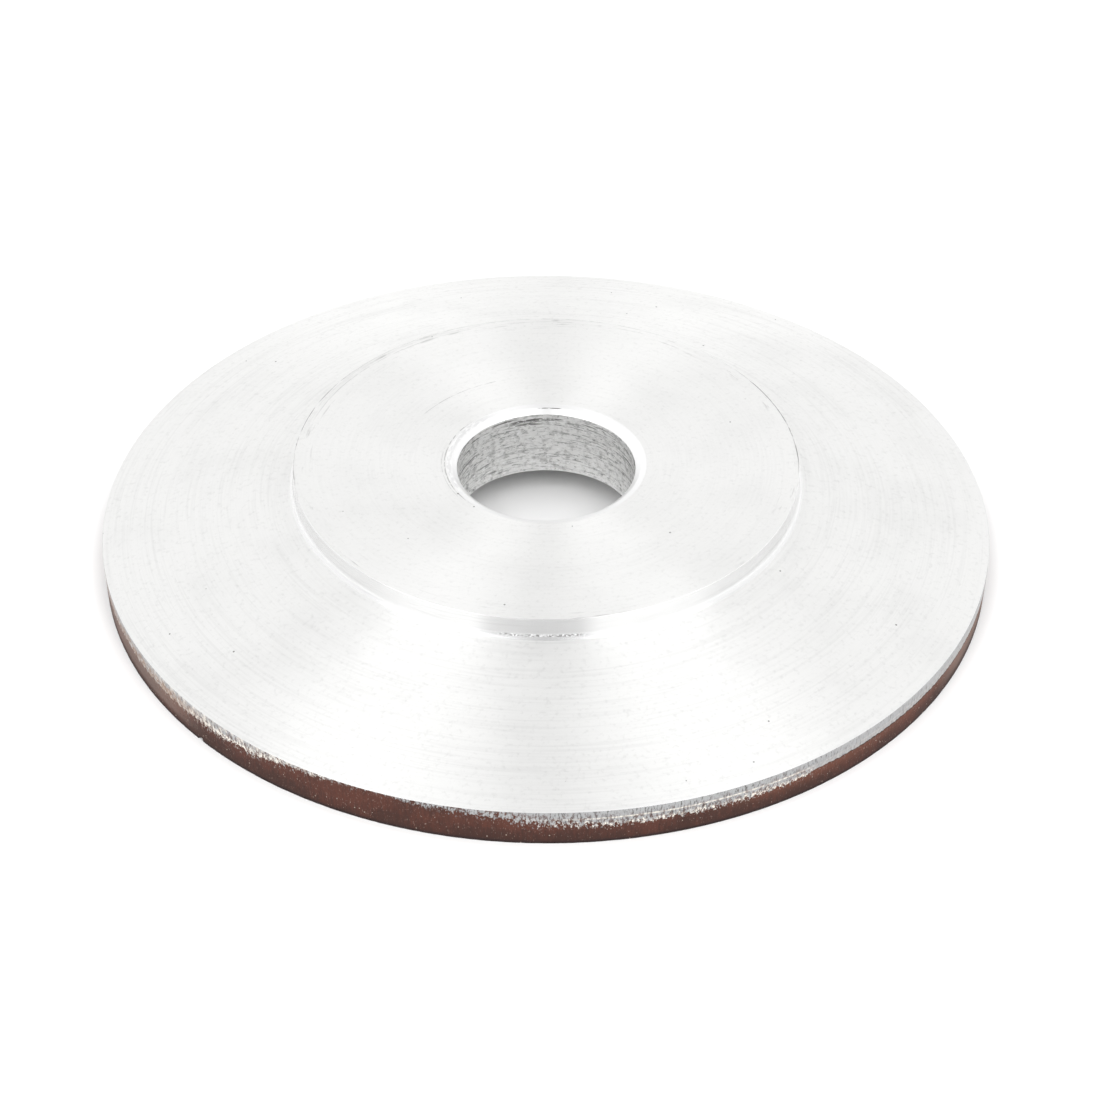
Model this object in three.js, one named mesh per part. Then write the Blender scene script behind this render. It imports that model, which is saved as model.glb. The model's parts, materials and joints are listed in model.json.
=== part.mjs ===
// Dish-shaped diamond grinding wheel, in millimetres, +Z up.
//
// A turned aluminium body carries a moulded ring under its rim. The ring has two layers: a resin
// backing without diamond, keyed into the body, and the diamond layer that does the grinding.
// The origin is on the bore axis, in the plane of the grinding face.

import * as THREE from 'three';

const degrees = THREE.MathUtils.degToRad;

// The wheel as a whole
const WHEEL_DIAMETER = 100;
const WHEEL_THICKNESS = 13;
const BORE_DIAMETER = 20;

// Boss: the raised clamping face round the bore
const BOSS_DIAMETER = 56.7;
const BOSS_FILLET = 0.8;
const FRONT_CHAMFER_WIDTH = 1.2;
const FRONT_CHAMFER_DEPTH = 0.6;

// Flange: a cone that falls from the foot of the boss to the rim
const CONE_ANGLE = degrees(15.7);
const RIM_HEIGHT = 4.43;
const RIM_DRAFT = 0.28;

// Back of the body: a flat hub face in a recess, with a flank that follows the cone
const RECESS_DEPTH = 4.2;
const BACK_CHAMFER = 0.4;

// Abrasive ring: its two layers, and the dovetail key that holds the backing in the body
const RING_WIDTH = 5;
const DIAMOND_DEPTH = 2;
const BACKING_DEPTH = 0.85;
const KEY_DEPTH = 0.8;
const KEY_MOUTH_WIDTH = 1.6;
const KEY_ROOT_WIDTH = 2.2;

// Facets round each turned piece, and steps on half of an arc of its profile
const FACETS = 96;
const ARC_STEPS = 3;

// Radii and heights that follow from the sizes above
const wheelRadius = WHEEL_DIAMETER / 2;
const boreRadius = BORE_DIAMETER / 2;
const bossRadius = BOSS_DIAMETER / 2;
const ringInnerRadius = wheelRadius - RING_WIDTH;
const seatHeight = DIAMOND_DEPTH + BACKING_DEPTH;
const keyRadius = wheelRadius - RING_WIDTH / 2;
const flankInnerRadius = ringInnerRadius - (RECESS_DEPTH - seatHeight) / Math.tan(CONE_ANGLE);

// Radius of the drafted rim at a height: it is widest at its top edge.
function rimRadius(height) {
  return wheelRadius - RIM_DRAFT * (1 - height / RIM_HEIGHT);
}

// Height of the cone at a radius.
function coneHeight(radius) {
  return RIM_HEIGHT + (wheelRadius - radius) * Math.tan(CONE_ANGLE);
}

// A piece turned about Z from a closed profile of radius and height, drawn anticlockwise.
function turn(name, profile, material) {
  const points = profile.getPoints(ARC_STEPS);
  const geometry = new THREE.LatheGeometry(points, FACETS);
  geometry.rotateX(Math.PI / 2);
  const mesh = new THREE.Mesh(geometry, material);
  mesh.name = name;
  return mesh;
}

// The dovetail key's outline, from its outer mouth over the root to its inner mouth. The groove in
// the body and the rib on the backing both follow it, so that they meet face to face.
function addKey(profile, direction) {
  const mouth = direction * KEY_MOUTH_WIDTH / 2;
  const root = direction * KEY_ROOT_WIDTH / 2;
  profile.lineTo(keyRadius + mouth, seatHeight);
  profile.lineTo(keyRadius + root, seatHeight + KEY_DEPTH);
  profile.lineTo(keyRadius - root, seatHeight + KEY_DEPTH);
  profile.lineTo(keyRadius - mouth, seatHeight);
}

// Body: rim, cone, boss, bore, hub back face, flank and the grooved seat of the ring.
function makeWheelBody() {
  const filletCentreRadius = bossRadius + BOSS_FILLET;
  const filletCentreHeight = coneHeight(filletCentreRadius) + BOSS_FILLET / Math.cos(CONE_ANGLE);
  const profile = new THREE.Path();
  profile.moveTo(rimRadius(seatHeight), seatHeight);
  profile.lineTo(wheelRadius, RIM_HEIGHT);
  profile.absarc(
    filletCentreRadius,
    filletCentreHeight,
    BOSS_FILLET,
    -Math.PI / 2 - CONE_ANGLE,
    -Math.PI,
    true,
  );
  profile.lineTo(bossRadius, WHEEL_THICKNESS);
  profile.lineTo(boreRadius + FRONT_CHAMFER_WIDTH, WHEEL_THICKNESS);
  profile.lineTo(boreRadius, WHEEL_THICKNESS - FRONT_CHAMFER_DEPTH);
  profile.lineTo(boreRadius, RECESS_DEPTH + BACK_CHAMFER);
  profile.lineTo(boreRadius + BACK_CHAMFER, RECESS_DEPTH);
  profile.lineTo(flankInnerRadius, RECESS_DEPTH);
  profile.lineTo(ringInnerRadius, seatHeight);
  addKey(profile, -1);
  profile.closePath();
  const aluminium = new THREE.MeshStandardMaterial({ color: 0xe6e6e3, roughness: 0.35, metalness: 1 });
  return turn('wheel_body', profile, aluminium);
}

// Backing ring: diamond-free resin, with the rib that fills the body's groove.
function makeBackingRing() {
  const profile = new THREE.Path();
  profile.moveTo(rimRadius(DIAMOND_DEPTH), DIAMOND_DEPTH);
  profile.lineTo(rimRadius(seatHeight), seatHeight);
  addKey(profile, 1);
  profile.lineTo(ringInnerRadius, seatHeight);
  profile.lineTo(ringInnerRadius, DIAMOND_DEPTH);
  profile.closePath();
  const resin = new THREE.MeshStandardMaterial({ color: 0x76493a, roughness: 0.6, metalness: 0 });
  return turn('backing_ring', profile, resin);
}

// Diamond ring: the abrasive layer, whose lower face is the grinding face.
function makeDiamondRing() {
  const profile = new THREE.Path();
  profile.moveTo(rimRadius(0), 0);
  profile.lineTo(rimRadius(DIAMOND_DEPTH), DIAMOND_DEPTH);
  profile.lineTo(ringInnerRadius, DIAMOND_DEPTH);
  profile.lineTo(ringInnerRadius, 0);
  profile.closePath();
  const bond = new THREE.MeshStandardMaterial({ color: 0x5a4036, roughness: 0.75, metalness: 0 });
  return turn('diamond_ring', profile, bond);
}

const grindingWheel = new THREE.Group();
grindingWheel.add(makeWheelBody(), makeBackingRing(), makeDiamondRing());

export default grindingWheel;
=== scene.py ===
"""Looks of a dish-shaped diamond grinding wheel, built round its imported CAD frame.

The wheel is a turned aluminium body with a moulded ring under its rim: a resin backing and the
diamond layer. Every length is in metres, in the frame's own axes: +Z is the bore axis and the
grinding face lies in the plane Z = 0. Materials are painted in millimetres.
"""

import json
import logging
import math
from dataclasses import dataclass, field
from enum import Enum
from functools import partial
from typing import Any, Callable, ClassVar

import bmesh
import bpy
from mathutils import Matrix, Vector, noise

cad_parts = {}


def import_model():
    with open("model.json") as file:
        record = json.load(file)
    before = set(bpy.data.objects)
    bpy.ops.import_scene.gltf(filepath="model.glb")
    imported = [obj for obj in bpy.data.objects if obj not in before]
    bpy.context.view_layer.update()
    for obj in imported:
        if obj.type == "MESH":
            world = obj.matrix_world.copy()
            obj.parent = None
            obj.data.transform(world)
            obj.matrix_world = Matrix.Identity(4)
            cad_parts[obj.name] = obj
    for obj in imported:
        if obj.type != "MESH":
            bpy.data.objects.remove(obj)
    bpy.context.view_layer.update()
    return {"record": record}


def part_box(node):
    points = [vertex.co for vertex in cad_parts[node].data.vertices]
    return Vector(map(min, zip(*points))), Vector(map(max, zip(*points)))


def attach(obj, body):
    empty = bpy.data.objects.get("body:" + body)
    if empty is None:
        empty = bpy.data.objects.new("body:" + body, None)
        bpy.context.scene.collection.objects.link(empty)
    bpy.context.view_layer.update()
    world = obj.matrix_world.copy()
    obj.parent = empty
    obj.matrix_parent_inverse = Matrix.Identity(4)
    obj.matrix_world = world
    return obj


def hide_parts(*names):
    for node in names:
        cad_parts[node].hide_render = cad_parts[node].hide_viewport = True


MM = 0.001
MM_PER_METRE = 1000.0
FULL_TURN = 2 * math.pi
Socket = bpy.types.NodeSocket

log = logging.getLogger("grinding_wheel")


def linear(hex_colour: str) -> tuple[float, float, float, float]:
    """Turns an sRGB colour into the linear one that shaders use, by the standard curve.

    Args:
        hex_colour: Six hexadecimal digits, such as "e6e6e3".

    Returns:
        Red, green, blue and an alpha of 1.
    """
    channels = []
    for start in (0, 2, 4):
        value = int(hex_colour[start:start + 2], 16) / 255
        channels.append(value / 12.92 if value <= 0.04045 else ((value + 0.055) / 1.055) ** 2.4)
    return (*channels, 1.0)


# Turned meshes


@dataclass(frozen=True)
class Corner:
    """One corner of a turned profile.

    Attributes:
        radius: Distance from the axis.
        height: Height above the grinding face.
        rounding: Radius that the tool, or wear, left on the corner.
        spacing: Longest step along the straight stretch that starts here.
    """

    radius: float
    height: float
    rounding: float = 0.0
    spacing: float = 1.0 * MM

    @property
    def point(self) -> Vector:
        """The corner in the XZ plane."""
        return Vector((self.radius, 0.0, self.height))


@dataclass
class TurnedMesh:
    """A closed solid of revolution about Z, turned from a profile of corners.

    One sector is spun and then repeated, because a spin slows down with every step it has made.

    Attributes:
        corners: The profile's corners, in order round it.
        steps: Faces round the piece, a multiple of SECTORS.
        arc_segments: Faces across each rounded corner.
        support: Width of the narrow face that keeps a flat beside a rounded corner flat.
    """

    SECTORS: ClassVar[int] = 16
    # Points closer than this are one point on the seam between two sectors.
    SEAM: ClassVar[float] = 0.0005 * MM
    # A stretch shorter than this many supports is left whole.
    SHORTEST: ClassVar[int] = 8

    corners: list[Corner]
    steps: int
    arc_segments: int = 5
    support: float = 0.03 * MM

    def _tangent_length(self, index: int) -> float:
        """Length that a corner's rounding takes from each of the stretches that meet there.

        Args:
            index: The corner's place in the profile.

        Returns:
            The distance from the sharp corner to the start of the arc.
        """
        here = self.corners[index].point
        before = (self.corners[index - 1].point - here).normalized()
        after = (self.corners[(index + 1) % len(self.corners)].point - here).normalized()
        return self.corners[index].rounding / math.tan(before.angle(after) / 2)

    def _wire(self, bm: bmesh.types.BMesh) -> None:
        """Draws the closed profile as a wire with rounded corners and evenly divided stretches.

        Args:
            bm: The empty bmesh to draw in.
        """
        layer = bm.edges.layers.int.new("stretch")
        verts = [bm.verts.new(corner.point) for corner in self.corners]
        for number, vert in enumerate(verts):
            edge = bm.edges.new((vert, verts[(number + 1) % len(verts)]))
            edge[layer] = number + 1
        for index, corner in enumerate(self.corners):
            if corner.rounding:
                bmesh.ops.bevel(
                    bm, geom=[verts[index]], offset=self._tangent_length(index), offset_type="OFFSET",
                    segments=self.arc_segments, profile=0.5, affect="VERTICES", clamp_overlap=False,
                    material=-1,
                )
        self._divide(bm, layer)

    def _divide(self, bm: bmesh.types.BMesh, layer: Any) -> None:
        """Adds support points beside the rounded corners and divides each straight stretch.

        Args:
            bm: The bmesh that holds the wire.
            layer: The edge layer that says which stretch an edge belongs to.
        """
        shortest = self.SHORTEST * self.support
        for edge in [e for e in bm.edges if e[layer] and e.calc_length() > shortest]:
            spacing = self.corners[edge[layer] - 1].spacing
            near, far = edge.verts
            edge, near = bmesh.utils.edge_split(edge, near, self.support / edge.calc_length())
            middle = next(e for e in near.link_edges if far in e.verts)
            bmesh.utils.edge_split(middle, far, self.support / middle.calc_length())
            middle = max(near.link_edges, key=lambda e: e.calc_length())
            cuts = math.ceil(middle.calc_length() / spacing) - 1
            if cuts > 0:
                bmesh.ops.subdivide_edges(bm, edges=[middle], cuts=cuts)

    def build(self, shape_profile: Callable[[Vector], Vector] | None = None) -> bmesh.types.BMesh:
        """Turns the profile into a closed solid.

        Args:
            shape_profile: Moves a point of the profile, for tool marks that run all the way round.

        Returns:
            A bmesh with merged seams and normals that point out.
        """
        bm = bmesh.new()
        self._wire(bm)
        if shape_profile:
            for vert in bm.verts:
                vert.co = shape_profile(vert.co)
        about_bore = {"cent": (0, 0, 0), "axis": (0, 0, 1), "dvec": (0, 0, 0), "use_merge": False}
        bmesh.ops.spin(
            bm, geom=bm.verts[:] + bm.edges[:], angle=FULL_TURN / self.SECTORS,
            steps=self.steps // self.SECTORS, use_duplicate=False, **about_bore,
        )
        bmesh.ops.spin(
            bm, geom=bm.verts[:] + bm.edges[:] + bm.faces[:],
            angle=FULL_TURN * (self.SECTORS - 1) / self.SECTORS, steps=self.SECTORS - 1,
            use_duplicate=True, **about_bore,
        )
        bmesh.ops.remove_doubles(bm, verts=bm.verts, dist=self.SEAM)
        bmesh.ops.recalc_face_normals(bm, faces=bm.faces)
        return bm


def finish_piece(
    bm: bmesh.types.BMesh, name: str, node: str, materials: list[bpy.types.Material]
) -> bpy.types.Object:
    """Makes a bmesh into a smooth-shaded object that stands for a CAD node.

    Args:
        bm: The finished mesh, in place in the frame. It is freed.
        name: The new piece's name.
        node: The CAD node that the piece stands for.
        materials: The piece's materials, in the order of its faces' material numbers.

    Returns:
        The object, at the origin, riding on the wheel's one body.
    """
    mesh = bpy.data.meshes.new(name)
    for face in bm.faces:
        face.smooth = True
    bm.to_mesh(mesh)
    bm.free()
    for material in materials:
        mesh.materials.append(material)
    piece = bpy.data.objects.new(name, mesh)
    bpy.context.scene.collection.objects.link(piece)
    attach(piece, "root")
    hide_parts(node)
    log.info("%s stands for %s: %d faces", name, node, len(mesh.polygons))
    return piece


# Finishes


def add_node(
    tree: bpy.types.NodeTree, kind: str, inputs: dict | None = None, **settings: Any
) -> bpy.types.Node:
    """Adds a node to a tree, with its settings and links.

    Args:
        tree: The node tree.
        kind: The node's type name.
        inputs: Input name or number to a value, or to the output socket that feeds it.
        **settings: The node's own properties.

    Returns:
        The new node.
    """
    node = tree.nodes.new(kind)
    for name, value in settings.items():
        setattr(node, name, value)
    for key, value in (inputs or {}).items():
        if isinstance(value, Socket):
            tree.links.new(value, node.inputs[key])
        else:
            node.inputs[key].default_value = value
    return node


@dataclass(frozen=True)
class ArcMark:
    """One mark round the bore, such as a worn edge, a slip of a tool, or painted shade along an edge.

    Attributes:
        radius: Its radius, in millimetres.
        width: Its width, in millimetres.
        middle: Degrees from +X to its middle.
        reach: Degrees from its middle to its ends.
        strength: How dark it is, from 0 to 1.
    """

    radius: float
    width: float
    middle: float
    reach: float
    strength: float


@dataclass(frozen=True)
class Coat:
    """A colour laid over what is below it.

    Attributes:
        colour: Its sRGB colour, or a colour socket.
        mask: Where it shows.
        strength: How much of it shows there, from 0 to 1.
    """

    colour: str | Socket
    mask: Socket
    strength: float = 1.0


class MaterialTree:
    """A material's node tree, with the coordinates that every turned surface is painted in.

    Lengths in it are in millimetres. A pattern is a socket from 0 to 1, about 0.5 on average, and
    a mask is a socket from 0, where it is off, to 1.
    """

    # Share of a soft-edged mark's half width in which it is full.
    PIT_CORE = 0.6
    LINE_CORE = 0.3
    SECTOR_CORE = 0.6
    # A quarter turn from the tangent, which runs round the axis, as the tool marks do.
    ACROSS_MARKS = 0.25

    def __init__(self, name: str) -> None:
        """Starts an empty material and its surface coordinates.

        Args:
            name: The material's name, which says what it is and how it was made.
        """
        self.material = bpy.data.materials.new(name)
        self.material.use_nodes = True
        self.material.node_tree.nodes.clear()
        self.add = partial(add_node, self.material.node_tree)
        place = self.add("ShaderNodeTexCoord").outputs["Object"]
        self.place = self.add(
            "ShaderNodeVectorMath", {0: place, "Scale": MM_PER_METRE}, operation="SCALE"
        ).outputs[0]
        split = self.add("ShaderNodeSeparateXYZ", {0: self.place})
        self.height = split.outputs["Z"]
        across = self.add(
            "ShaderNodeVectorMath", {0: self.place, 1: (1.0, 1.0, 0.0)}, operation="MULTIPLY"
        ).outputs[0]
        length = self.add("ShaderNodeVectorMath", {0: across}, operation="LENGTH")
        self.radius = length.outputs["Value"]
        self.outwards = self.add(
            "ShaderNodeVectorMath", {0: across}, operation="NORMALIZE"
        ).outputs[0]
        self.along = self.add(
            "ShaderNodeVectorMath", {0: (0.0, 0.0, 1.0), 1: self.outwards}, operation="CROSS_PRODUCT"
        ).outputs[0]
        angle = self.add(
            "ShaderNodeMath", {0: split.outputs["Y"], 1: split.outputs["X"]}, operation="ARCTAN2"
        )
        wrapped = self.add(
            "ShaderNodeMath", {0: angle.outputs[0], 1: FULL_TURN, 2: 0.0}, operation="WRAP"
        )
        self.turn = self.add(
            "ShaderNodeMath", {0: wrapped.outputs[0], 1: FULL_TURN}, operation="DIVIDE"
        ).outputs[0]

    def streaks(
        self, across: Socket, pitch: float, arcs: float, seed: float, detail: float = 2.0
    ) -> Socket:
        """Noise drawn out round the axis, as a tool or a shaft leaves it.

        Args:
            across: The coordinate across the streaks: the radius or the height.
            pitch: Distance between neighbouring streaks.
            arcs: How many times a streak changes on its way round the wheel, roughly.
            seed: Offset that sets this pattern apart from others.
            detail: Octaves of finer streaks.

        Returns:
            A pattern.
        """
        line = self.add(
            "ShaderNodeMath", {0: across, 1: 1 / pitch, 2: seed}, operation="MULTIPLY_ADD"
        )
        around = self.add(
            "ShaderNodeVectorMath", {0: self.outwards, "Scale": arcs / FULL_TURN}, operation="SCALE"
        )
        split = self.add("ShaderNodeSeparateXYZ", {0: around.outputs[0]})
        point = self.add(
            "ShaderNodeCombineXYZ",
            {0: line.outputs[0], 1: split.outputs[0], 2: split.outputs[1]},
        )
        return self.add(
            "ShaderNodeTexNoise",
            {"Vector": point.outputs[0], "Scale": 1.0, "Detail": detail, "Roughness": 0.6},
        ).outputs["Fac"]

    def clouds(self, size: float, seed: float, detail: float = 3.0) -> Socket:
        """Soft uneven patches.

        Args:
            size: Width of a patch.
            seed: Offset that sets this pattern apart from others.
            detail: Octaves of finer patches.

        Returns:
            A pattern.
        """
        moved = self.add(
            "ShaderNodeVectorMath", {0: self.place, 1: (seed, seed, seed)}, operation="ADD"
        )
        return self.add(
            "ShaderNodeTexNoise",
            {"Vector": moved.outputs[0], "Scale": 1 / size, "Detail": detail, "Roughness": 0.55},
        ).outputs["Fac"]

    def upright(self, size: float, stretch: float, seed: float, detail: float = 4.0) -> Socket:
        """Noise drawn out upwards, as a grinding pass over the rim leaves it.

        Args:
            size: Width of a streak.
            stretch: How many times longer than wide it is.
            seed: Offset that sets this pattern apart from others.
            detail: Octaves of finer streaks.

        Returns:
            A pattern.
        """
        squeezed = self.add(
            "ShaderNodeVectorMath", {0: self.place, 1: (1.0, 1.0, 1 / stretch), 2: (seed, seed, seed)},
            operation="MULTIPLY_ADD",
        )
        return self.add(
            "ShaderNodeTexNoise",
            {"Vector": squeezed.outputs[0], "Scale": 1 / size, "Detail": detail, "Roughness": 0.65},
        ).outputs["Fac"]

    def ramp(
        self, value: Socket, low: float, high: float, to_low: float = 0.0, to_high: float = 1.0
    ) -> Socket:
        """Maps a range of a value smoothly to another, and clamps it there.

        Args:
            value: The socket to read.
            low: The value that gives to_low.
            high: The value that gives to_high.
            to_low: The result at and before low.
            to_high: The result at and past high.

        Returns:
            The mapped socket.
        """
        return self.add(
            "ShaderNodeMapRange",
            {"Value": value, "From Min": low, "From Max": high, "To Min": to_low, "To Max": to_high},
            interpolation_type="SMOOTHSTEP",
        ).outputs["Result"]

    def product(self, *factors: Socket | float) -> Socket:
        """Multiplies masks, so that a mark shows only where all of them are set.

        Args:
            *factors: Two or more sockets or numbers.

        Returns:
            The product's socket.
        """
        result = factors[0]
        for factor in factors[1:]:
            result = self.add(
                "ShaderNodeMath", {0: result, 1: factor}, operation="MULTIPLY"
            ).outputs[0]
        return result

    def painted(self, base: str | Socket, *coats: Coat) -> Socket:
        """Lays coats of colour over a base, in order.

        Args:
            base: The sRGB colour, or the colour socket, below.
            *coats: The coats.

        Returns:
            The painted colour's socket.
        """
        result = linear(base) if isinstance(base, str) else base
        for coat in coats:
            over = linear(coat.colour) if isinstance(coat.colour, str) else coat.colour
            mask = self.product(coat.mask, coat.strength) if coat.strength < 1 else coat.mask
            result = self.add(
                "ShaderNodeMix", {"Factor": mask, "A": result, "B": over}, data_type="RGBA"
            ).outputs["Result"]
        return result

    def pits(self, cell: float, size: float, kept: float, seed: float) -> Socket:
        """Scattered small pits or grains.

        Args:
            cell: Mean distance between places for a pit.
            size: Radius of a pit.
            kept: Share of the places that hold one.
            seed: Offset that sets this pattern apart from others.

        Returns:
            A mask, 1 in a pit.
        """
        moved = self.add(
            "ShaderNodeVectorMath", {0: self.place, 1: (seed, -seed, 0.0)}, operation="ADD"
        )
        spots = self.add(
            "ShaderNodeTexVoronoi", {"Vector": moved.outputs[0], "Scale": 1 / cell}, feature="F1"
        )
        spot = self.ramp(spots.outputs["Distance"], size / cell, self.PIT_CORE * size / cell)
        chance = self.add("ShaderNodeSeparateColor", {0: spots.outputs["Color"]})
        chosen = self.add(
            "ShaderNodeMath", {0: chance.outputs[0], 1: kept}, operation="LESS_THAN"
        )
        return self.product(spot, chosen.outputs[0])

    def line(self, value: Socket, middle: float, half_width: float) -> Socket:
        """A soft-edged band of a value.

        Args:
            value: The socket to read.
            middle: The value in the middle of the band.
            half_width: Distance from the middle to where the band ends.

        Returns:
            A mask, 1 in the middle of the band.
        """
        away = self.add("ShaderNodeMath", {0: value, 1: middle}, operation="SUBTRACT")
        distance = self.add("ShaderNodeMath", {0: away.outputs[0]}, operation="ABSOLUTE")
        return self.ramp(distance.outputs[0], half_width, self.LINE_CORE * half_width)

    def sector(self, middle: float, half_width: float) -> Socket:
        """A soft-ended sector of the wheel.

        Args:
            middle: Degrees from +X to the middle of the sector.
            half_width: Degrees from there to where it ends.

        Returns:
            A mask, 1 in the middle of the sector.
        """
        way = (math.cos(math.radians(middle)), math.sin(math.radians(middle)), 0.0)
        nearness = self.add(
            "ShaderNodeVectorMath", {0: self.outwards, 1: way}, operation="DOT_PRODUCT"
        )
        return self.ramp(
            nearness.outputs["Value"],
            math.cos(math.radians(half_width)),
            math.cos(math.radians(self.SECTOR_CORE * half_width)),
        )

    def arc_marks(self, marks: tuple[ArcMark, ...], seed: float) -> Socket:
        """Single marks round the bore, painted shade along edges among them.

        Args:
            marks: The marks.
            seed: Offset of the noise that breaks them up.

        Returns:
            A mask, up to the strongest mark's strength.
        """
        dashes = self.streaks(self.radius, pitch=0.25, arcs=90.0, seed=seed)
        broken = self.ramp(dashes, low=0.36, high=0.56)
        total = 0.0
        for mark in marks:
            one = self.product(
                self.line(self.radius, mark.radius, mark.width / 2),
                self.sector(mark.middle, mark.reach),
                mark.strength,
                broken,
            )
            total = self.add("ShaderNodeMath", {0: total, 1: one}, operation="MAXIMUM").outputs[0]
        return total

    def surface(self, shader_inputs: dict, relief: Socket, depth: float) -> bpy.types.Material:
        """Closes the tree with a Principled surface and its relief.

        Args:
            shader_inputs: Principled input name to value or socket.
            relief: The relief, from 0 to 1.
            depth: What a relief of 1 measures, in metres.

        Returns:
            The finished material.
        """
        bump = self.add("ShaderNodeBump", {"Height": relief, "Distance": depth, "Strength": 1.0})
        shader = self.add("ShaderNodeBsdfPrincipled", {**shader_inputs, "Normal": bump.outputs[0]})
        self.add("ShaderNodeOutputMaterial", {"Surface": shader.outputs[0]})
        return self.material

    def turned_metal(
        self, colour: Socket, roughness: float, anisotropy: float, relief: Socket, depth: float
    ) -> bpy.types.Material:
        """Closes the tree with bare metal whose tool marks run round the axis.

        The marks spread each reflection across them, so a turned face shows bright and dark
        wedges that meet at the bore.

        Args:
            colour: The metal's colour.
            roughness: Spread of the reflection.
            anisotropy: How much wider it is across the marks than along them.
            relief: The relief, from 0 to 1.
            depth: What a relief of 1 measures, in metres.

        Returns:
            The finished material.
        """
        return self.surface(
            {
                "Base Color": colour,
                "Metallic": 1.0,
                "Roughness": roughness,
                "Anisotropic": anisotropy,
                "Anisotropic Rotation": self.ACROSS_MARKS,
                "Tangent": self.along,
            },
            relief,
            depth,
        )


@dataclass(frozen=True)
class TurnedAluminium:
    """Bare aluminium, faced on a lathe and not polished.

    The tool leaves fine grooves round the axis, and handling leaves a little grime in them.

    Attributes:
        name: The material's name.
        colour: The clean metal.
        grime: What handling and oxide leave in grooves and patches.
        pit: The dark of a pit, of a single mark, and of painted shade along an edge.
        scratch: The dark of a handling scratch.
        roughness: Spread of the reflection.
        anisotropy: How much wider it is across the grooves than along them.
        pitch: Distance between the visible grooves, in millimetres. The real feed is about
            0.1 mm, which is too fine to show, so they are drawn coarser.
        groove_depth: Depth of the visible grooves, in metres.
        groove_tint: How strongly grooves darken.
        cloud_tint: How strongly patches darken. Grain darkens twice as strongly.
        scratch_tint: How strongly the handling scratches near the boss's edge darken.
        marks: Single marks round the bore, painted shade along edges among them.
        seed: Offset of the patterns.
    """

    name: str
    colour: str = "fcfcfb"
    grime: str = "989897"
    pit: str = "4c4a48"
    scratch: str = "6a6866"
    roughness: float = 0.46
    anisotropy: float = 0.9
    pitch: float = 0.28
    groove_depth: float = 0.008 * MM
    groove_tint: float = 0.08
    cloud_tint: float = 0.07
    scratch_tint: float = 0.0
    marks: tuple[ArcMark, ...] = ()
    seed: float = 0.0

    def _scratches(self, tree: MaterialTree) -> Socket:
        """Short scratches that follow the boss's edge in patches.

        Args:
            tree: The tree to paint in.

        Returns:
            A mask.
        """
        dashes = tree.streaks(tree.radius, pitch=0.4, arcs=45.0, seed=self.seed + 60, detail=4.0)
        patches = tree.clouds(size=5.0, seed=self.seed + 71)
        return tree.product(
            tree.ramp(dashes, low=0.56, high=0.68),
            tree.ramp(patches, low=0.42, high=0.58),
            tree.ramp(tree.radius, low=25.4, high=27.8),
        )

    def build(self) -> bpy.types.Material:
        """Builds the material.

        Returns:
            The turned metal, with grooves, soft patches, scratches and a few pits.
        """
        tree = MaterialTree(self.name)
        fine = tree.streaks(tree.radius, self.pitch, arcs=20.0, seed=self.seed)
        broad = tree.streaks(tree.radius, 8 * self.pitch, arcs=4.0, seed=self.seed + 31)
        groove = tree.product(
            tree.ramp(fine, low=0.42, high=0.7), tree.ramp(broad, low=0.35, high=0.6, to_low=0.55)
        )
        patches = tree.clouds(size=10.0, seed=self.seed + 5, detail=4.0)
        grain = tree.clouds(size=0.5, seed=self.seed + 9)
        coats = [
            Coat(self.grime, groove, self.groove_tint),
            Coat(self.grime, tree.ramp(patches, low=0.4, high=0.75), self.cloud_tint),
            Coat(self.grime, tree.ramp(grain, low=0.5, high=0.8), 2 * self.cloud_tint),
            Coat(self.pit, tree.pits(1.8, size=0.14, kept=0.08, seed=self.seed + 3), strength=0.7),
        ]
        if self.scratch_tint:
            coats.append(Coat(self.scratch, self._scratches(tree), self.scratch_tint))
        # Some of the marks are painted shade along an edge.
        if self.marks:
            coats.append(Coat(self.pit, tree.arc_marks(self.marks, self.seed)))
        colour = tree.painted(self.colour, *coats)
        return tree.turned_metal(colour, self.roughness, self.anisotropy, fine, self.groove_depth)


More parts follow.
